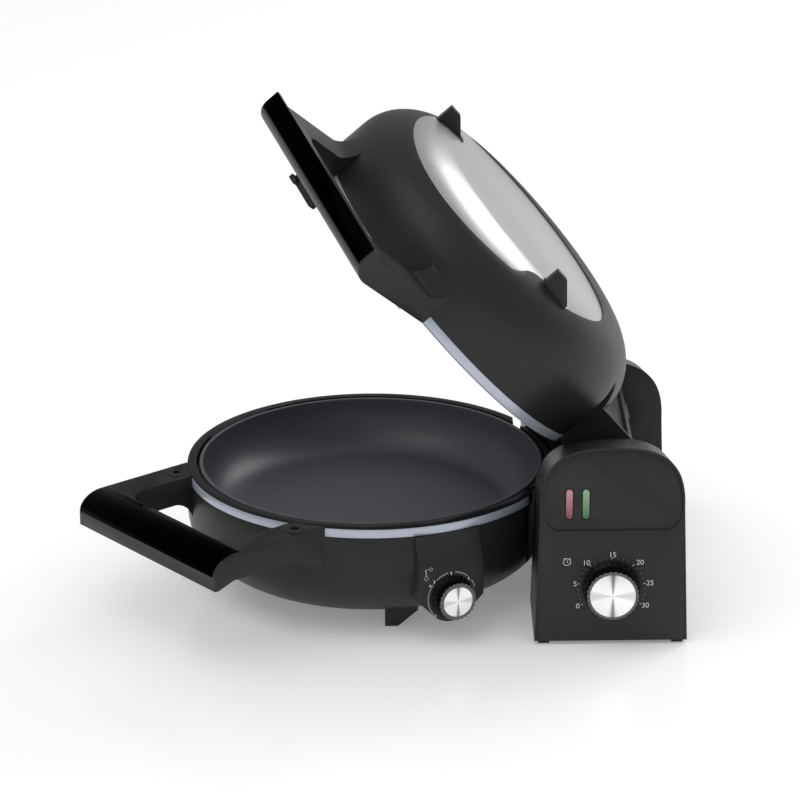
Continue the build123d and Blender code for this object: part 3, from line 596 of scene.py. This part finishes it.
def rim_grip(name, centre, out, depth_mm, widen):
    """Widens the grip's front end and gives it its grey rim, down to a depth behind the cap."""
    mesh = softened[name].data
    mesh.materials.append(bezel_grey)
    for vert in mesh.vertices:
        behind = (centre - vert.co).dot(out)
        if behind < depth_mm * MM:
            aside = vert.co - centre + out * behind
            vert.co += aside * (widen - 1)
        if behind < RIM_STEP_MM * MM:
            vert.co += out * RIM_RISE_MM * MM
    for face in mesh.polygons:
        if (centre - face.center).dot(out) < depth_mm * MM:
            face.material_index = 1


def widen_skirt(name, centre, out, depth_mm, factor):
    """Spreads a knob's skirt, from a depth behind the cap."""
    for vert in softened[name].data.vertices:
        behind = (centre - vert.co).dot(out)
        if behind > depth_mm * MM:
            vert.co += (vert.co - centre + out * behind) * (factor - 1)


def resize_cap(name, centre, out, factor):
    """Fits a cap's width to the rim round it."""
    for vert in softened[name].data.vertices:
        ahead = (vert.co - centre).dot(out)
        vert.co += (vert.co - centre - out * ahead) * (factor - 1)


def facing(out):
    """The turn that lays a flat drawing on a face, up staying up."""
    quarter = math.radians(90)
    upright = Matrix.Rotation(quarter, 4, "X")
    return Matrix.Rotation(math.atan2(out.y, out.x) + quarter, 4, "Z") @ upright


def add_piece(name, bm, body, material):
    """Makes a piece of its own from a bmesh."""
    mesh = bpy.data.meshes.new(name)
    bm.to_mesh(mesh)
    bm.free()
    piece = bpy.data.objects.new(name, mesh)
    bpy.context.scene.collection.objects.link(piece)
    dress(piece, material)
    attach(piece, body)


def skirt_marks(name, centre, out, radius_mm, count, body):
    """Small raised dots round a knob's skirt."""
    bm = bmesh.new()
    for i in range(count):
        a = 2 * math.pi * (i + 0.5) / count
        spot = Matrix.Translation((radius_mm * MM * math.cos(a), radius_mm * MM * math.sin(a), 0))
        bmesh.ops.create_icosphere(bm, subdivisions=2, radius=MARK_RADIUS_MM * MM, matrix=spot)
    bm.transform(Matrix.Translation(centre) @ facing(out))
    add_piece(name, bm, body, mark_ink)


rim_grip("timer_knob", timer_cap_centre, timer_out, depth_mm=3.4, widen=1.05)
rim_grip("thermostat_knob", heat_cap_centre, heat_out, depth_mm=2.8, widen=1.14)
widen_skirt("thermostat_knob", heat_cap_centre, heat_out, depth_mm=7.2, factor=1.07)
resize_cap("timer_knob_cap", timer_cap_centre, timer_out, factor=0.968)
resize_cap("thermostat_knob_cap", heat_cap_centre, heat_out, factor=1.06)
timer_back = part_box("timer_knob")[1].y
timer_skirt = Vector((timer_cap_centre.x, timer_back - TIMER_SKIRT_MM * MM, timer_cap_centre.z))
skirt_marks("timer_skirt_marks", timer_skirt, timer_out, 18.75, 24, "timer_knob_body")
heat_skirt = heat_cap_centre - heat_out * HEAT_SKIRT_MM * MM
skirt_marks("thermostat_skirt_marks", heat_skirt, heat_out, 14.6, 22, "thermostat_knob_body")


# Prints: drawn flat in millimetres about a dial's centre, then laid on the surface behind

INK_MM = 0.05
CAP_SHARE = 0.69
RAY_START_MM = 12.0
RAY_LENGTH_MM = 30.0
ARC_STEP_DEGREES = 6


def word_drawing(bm, word, height_mm, x_mm, y_mm):
    """A number as flat mesh, centred on a place."""
    curve = bpy.data.curves.new("word", "FONT")
    curve.body = word
    curve.size = height_mm / CAP_SHARE
    curve.align_x = "CENTER"
    holder = bpy.data.objects.new("word", curve)
    bpy.context.scene.collection.objects.link(holder)
    bpy.context.view_layer.update()
    drawn = bpy.data.meshes.new_from_object(holder)
    drawn.transform(Matrix.Translation((x_mm, y_mm - height_mm / 2, 0)))
    bm.from_mesh(drawn)
    bpy.data.objects.remove(holder)
    bpy.data.curves.remove(curve)
    bpy.data.meshes.remove(drawn)


def arc_drawing(bm, radius, width, start, end, x_mm=0.0, y_mm=0.0):
    """A flat ring or part of one, from start to end in degrees."""
    middle = Vector((x_mm, y_mm, 0))
    turn = Matrix.Rotation(math.radians(start), 4, "Z")
    inner = bm.verts.new(middle + turn @ Vector((radius - width / 2, 0, 0)))
    outer = bm.verts.new(middle + turn @ Vector((radius + width / 2, 0, 0)))
    edge = bm.edges.new((inner, outer))
    sweep = end - start
    bmesh.ops.spin(
        bm,
        geom=[inner, outer, edge],
        cent=middle,
        axis=(0, 0, 1),
        angle=math.radians(sweep),
        steps=max(6, int(abs(sweep) / ARC_STEP_DEGREES)),
        use_merge=abs(sweep) >= 360,
    )


def bar_drawing(bm, start, end, width):
    """A flat bar between two points."""
    a = Vector((*start, 0))
    b = Vector((*end, 0))
    along = b - a
    turn = Matrix.Rotation(math.atan2(along.y, along.x), 4, "Z")
    size = Matrix.Diagonal((along.length / 2, width / 2, 1, 1))
    place = Matrix.Translation((a + b) / 2) @ turn @ size
    bmesh.ops.create_grid(bm, x_segments=4, y_segments=1, size=1, matrix=place)


def dot_drawing(bm, x_mm, y_mm, radius, sides=12):
    """A flat round dot, or a triangle with three sides."""
    place = Matrix.Translation((x_mm, y_mm, 0))
    bmesh.ops.create_circle(bm, cap_ends=True, segments=sides, radius=radius, matrix=place)


def polar(radius, degrees):
    """A point at a radius and an angle counted from the right, anticlockwise."""
    a = math.radians(degrees)
    return (radius * math.cos(a), radius * math.sin(a))


def lay_on(bm, name, centre, out, node_name, body, material):
    """Scales a drawing to metres, faces it outwards and lays it on a CAD surface."""
    bm.transform(Matrix.Translation(centre) @ facing(out) @ Matrix.Scale(MM, 4))
    mesh = frame["nodes"][node_name].data
    surface_tree = BVHTree.FromPolygons(
        [v.co.copy() for v in mesh.vertices],
        [tuple(f.vertices) for f in mesh.polygons],
    )
    for vert in bm.verts:
        start = vert.co + out * RAY_START_MM * MM
        hit = surface_tree.ray_cast(start, -out, RAY_LENGTH_MM * MM)[0]
        if hit is not None:
            vert.co = hit + out * INK_MM * MM
    bmesh.ops.recalc_face_normals(bm, faces=bm.faces)
    for face in bm.faces:
        if face.normal.dot(out) < 0:
            face.normal_flip()
    add_piece(name, bm, body, material)


MINUTE_STEP = 39.7
DIAL_DROP = -0.95
TICK_RADIUS = 23.1
DIAL_NUMBERS = (
    ("0", -23.0, -13.1),
    ("5", -25.0, 3.4),
    ("10", -17.5, 19.0),
    ("15", 0.4, 24.8),
    ("20", 19.3, 19.0),
    ("25", 26.4, 3.6),
    ("30", 23.5, -13.1),
)
NUMBER_HEIGHT_MM = 3.7
CLOCK = (-30.8, 19.6)


def timer_print():
    """Minutes, their ticks and dots, and the clock sign beside them."""
    strong = bmesh.new()
    weak = bmesh.new()
    last = len(DIAL_NUMBERS) - 1
    for i in range(len(DIAL_NUMBERS)):
        angle = 90 + MINUTE_STEP * (last / 2 - i)
        start = Vector(polar(TICK_RADIUS - 0.8, angle)) + Vector((0, DIAL_DROP))
        end = Vector(polar(TICK_RADIUS + 0.6, angle)) + Vector((0, DIAL_DROP))
        bar_drawing(strong, start, end, 0.45)
        for part in (1, 2, 3):
            if i < last:
                x, y = polar(TICK_RADIUS, angle - MINUTE_STEP * part / 4)
                dot_drawing(weak, x, y + DIAL_DROP, 0.42)
    for word, x, y in DIAL_NUMBERS:
        word_drawing(strong, word, NUMBER_HEIGHT_MM, x, y)
    arc_drawing(strong, 2.5, 0.4, 0, 360, *CLOCK)
    arc_drawing(strong, 3.1, 0.4, 115, 140, *CLOCK)
    arc_drawing(strong, 3.1, 0.4, 40, 65, *CLOCK)
    bar_drawing(strong, CLOCK, (CLOCK[0], CLOCK[1] + 1.5), 0.35)
    bar_drawing(strong, CLOCK, (CLOCK[0] + 1.1, CLOCK[1] - 0.6), 0.35)
    place = (timer_cap_centre, timer_out, "control_panel", "base")
    lay_on(strong, "timer_numbers", *place, white_ink)
    lay_on(weak, "timer_minute_dots", *place, dim_ink)


HEAT_RING = 17.8
RING_PARTS = ((14, 34), (48, 81), (98, 129), (142, 222))
HEAT_MARKS = ((12.8, 11.2), (-0.2, 17.0), (-13.1, 12.9))
POINTER = (-16.2, 10.6)
BULB = (-18.9, 16.4)


def thermostat_print():
    """The broken ring, its marks, the pointer and the thermometer sign."""
    strong = bmesh.new()
    weak = bmesh.new()
    for start, end in RING_PARTS:
        arc_drawing(weak, HEAT_RING, 0.85, start, end)
    for x, y in HEAT_MARKS:
        bar_drawing(strong, (x, y - 1.2), (x, y + 1.2), 0.8)
    dot_drawing(strong, *polar(HEAT_RING - 0.3, 226), 0.75)
    dot_drawing(strong, *POINTER, 1.2, 3)
    bar_drawing(weak, (BULB[0], BULB[1] + 1.3), (BULB[0], BULB[1] + 6.2), 1.0)
    arc_drawing(weak, 1.35, 0.55, 0, 360, *BULB)
    arc_drawing(weak, 1.05, 0.5, 0, 360, BULB[0] + 3.9, BULB[1] + 5.7)
    bar_drawing(weak, (BULB[0] + 0.4, BULB[1] + 6.0), (BULB[0] + 2.7, BULB[1] + 6.0), 0.4)
    place = (heat_cap_centre, heat_out, "lower_housing", "lower_pan")
    lay_on(weak, "thermostat_ring", *place, ring_ink)
    lay_on(strong, "thermostat_marks", *place, white_ink)


timer_print()
thermostat_print()


# Beyond this radius the lid collar's outer side gets the painted highlight.
COLLAR_EDGE_MM = 130.0


def paint_collar_highlight():
    """Paints a highlight on the lid collar's outer side, as a paler strip beside the band."""
    piece = softened["lid_collar"]
    piece.data.materials.append(collar_highlight_grey)
    to_flat = to_lid.inverted()
    for face in piece.data.polygons:
        spot = to_flat @ face.center
        if math.hypot(spot.x, spot.y) > COLLAR_EDGE_MM * MM:
            face.material_index = 1


paint_collar_highlight()


# Camera, floor and light

FOCAL_PX = 3976.5
IMAGE_PX = 800
CAMERA_PLACE = Vector((-29.9, -2635.6, 1132.0)) * MM
CAMERA_YAW = 1.10
CAMERA_PITCH = 20.79
CAMERA_ROLL = -0.15


def add_camera():
    """A long lens in front and above, turned as the photograph's."""
    data = bpy.data.cameras.new("camera")
    data.sensor_width = 36
    data.lens = FOCAL_PX / IMAGE_PX * data.sensor_width
    data.clip_end = 50
    eye = bpy.data.objects.new("camera", data)
    bpy.context.scene.collection.objects.link(eye)
    turn = (
        Matrix.Rotation(math.radians(-CAMERA_YAW), 4, "Z")
        @ Matrix.Rotation(math.radians(90 - CAMERA_PITCH), 4, "X")
        @ Matrix.Rotation(math.radians(CAMERA_ROLL), 4, "Z")
    )
    eye.matrix_world = Matrix.Translation(pan_centre + CAMERA_PLACE) @ turn
    bpy.context.scene.camera = eye


def add_floor():
    """A wide white glossy worktop, which keeps the object's shadow."""
    bm = bmesh.new()
    bmesh.ops.create_grid(bm, x_segments=1, y_segments=1, size=6)
    mesh = bpy.data.meshes.new("floor")
    bm.to_mesh(mesh)
    bm.free()
    floor = bpy.data.objects.new("floor", mesh)
    bpy.context.scene.collection.objects.link(floor)
    made, tree, shader = surface(
        "white_worktop",
        **{
            "Base Color": linear("#e4e4e4"),
            "Roughness": 0.2,
            "Specular IOR Level": 0.35,
            "Emission Color": linear("#ffffff"),
            "Emission Strength": 0.2,
        },
    )
    mesh.materials.append(made)


def add_world():
    """An even studio: white to the eye, a little softer as a lamp, dimmer in reflections."""
    world = bpy.data.worlds.new("studio")
    bpy.context.scene.world = world
    world.use_nodes = True
    tree = world.node_tree
    tree.nodes.clear()
    path = node(tree, "ShaderNodeLightPath")
    lamp = node(tree, "ShaderNodeBackground", Color=(1, 1, 1, 1), Strength=0.9)
    dim = node(tree, "ShaderNodeBackground", Color=(1, 1, 1, 1), Strength=0.42)
    white = node(tree, "ShaderNodeBackground", Color=(1, 1, 1, 1), Strength=0.97)
    mirrored = node(
        tree,
        "ShaderNodeMixShader",
        [(0, path.outputs["Is Glossy Ray"]), (1, lamp.outputs[0]), (2, dim.outputs[0])],
    )
    mix = node(
        tree,
        "ShaderNodeMixShader",
        [(0, path.outputs["Is Camera Ray"]), (1, mirrored.outputs[0]), (2, white.outputs[0])],
    )
    node(tree, "ShaderNodeOutputWorld", [("Surface", mix.outputs[0])])


def add_lamp(name, place, target, size, power):
    """A square soft lamp that looks at a point."""
    data = bpy.data.lights.new(name, "AREA")
    data.shape = "SQUARE"
    data.size = size
    data.energy = power
    lamp = bpy.data.objects.new(name, data)
    bpy.context.scene.collection.objects.link(lamp)
    aim = (Vector(target) - Vector(place)).to_track_quat("-Z", "Y")
    lamp.matrix_world = Matrix.Translation(place) @ aim.to_matrix().to_4x4()


add_camera()
add_floor()
add_world()
add_lamp("key_light", (1.9, 1.5, 1.7), (0, 0, 0.1), size=1.4, power=24)
add_lamp("top_light", (-0.9, -0.9, 2.4), (0, 0, 0.0), size=2.0, power=16)
bpy.context.scene.view_settings.view_transform = "Standard"


def write_sizes():
    """Imports json and writes nothing."""
    import json


write_sizes()
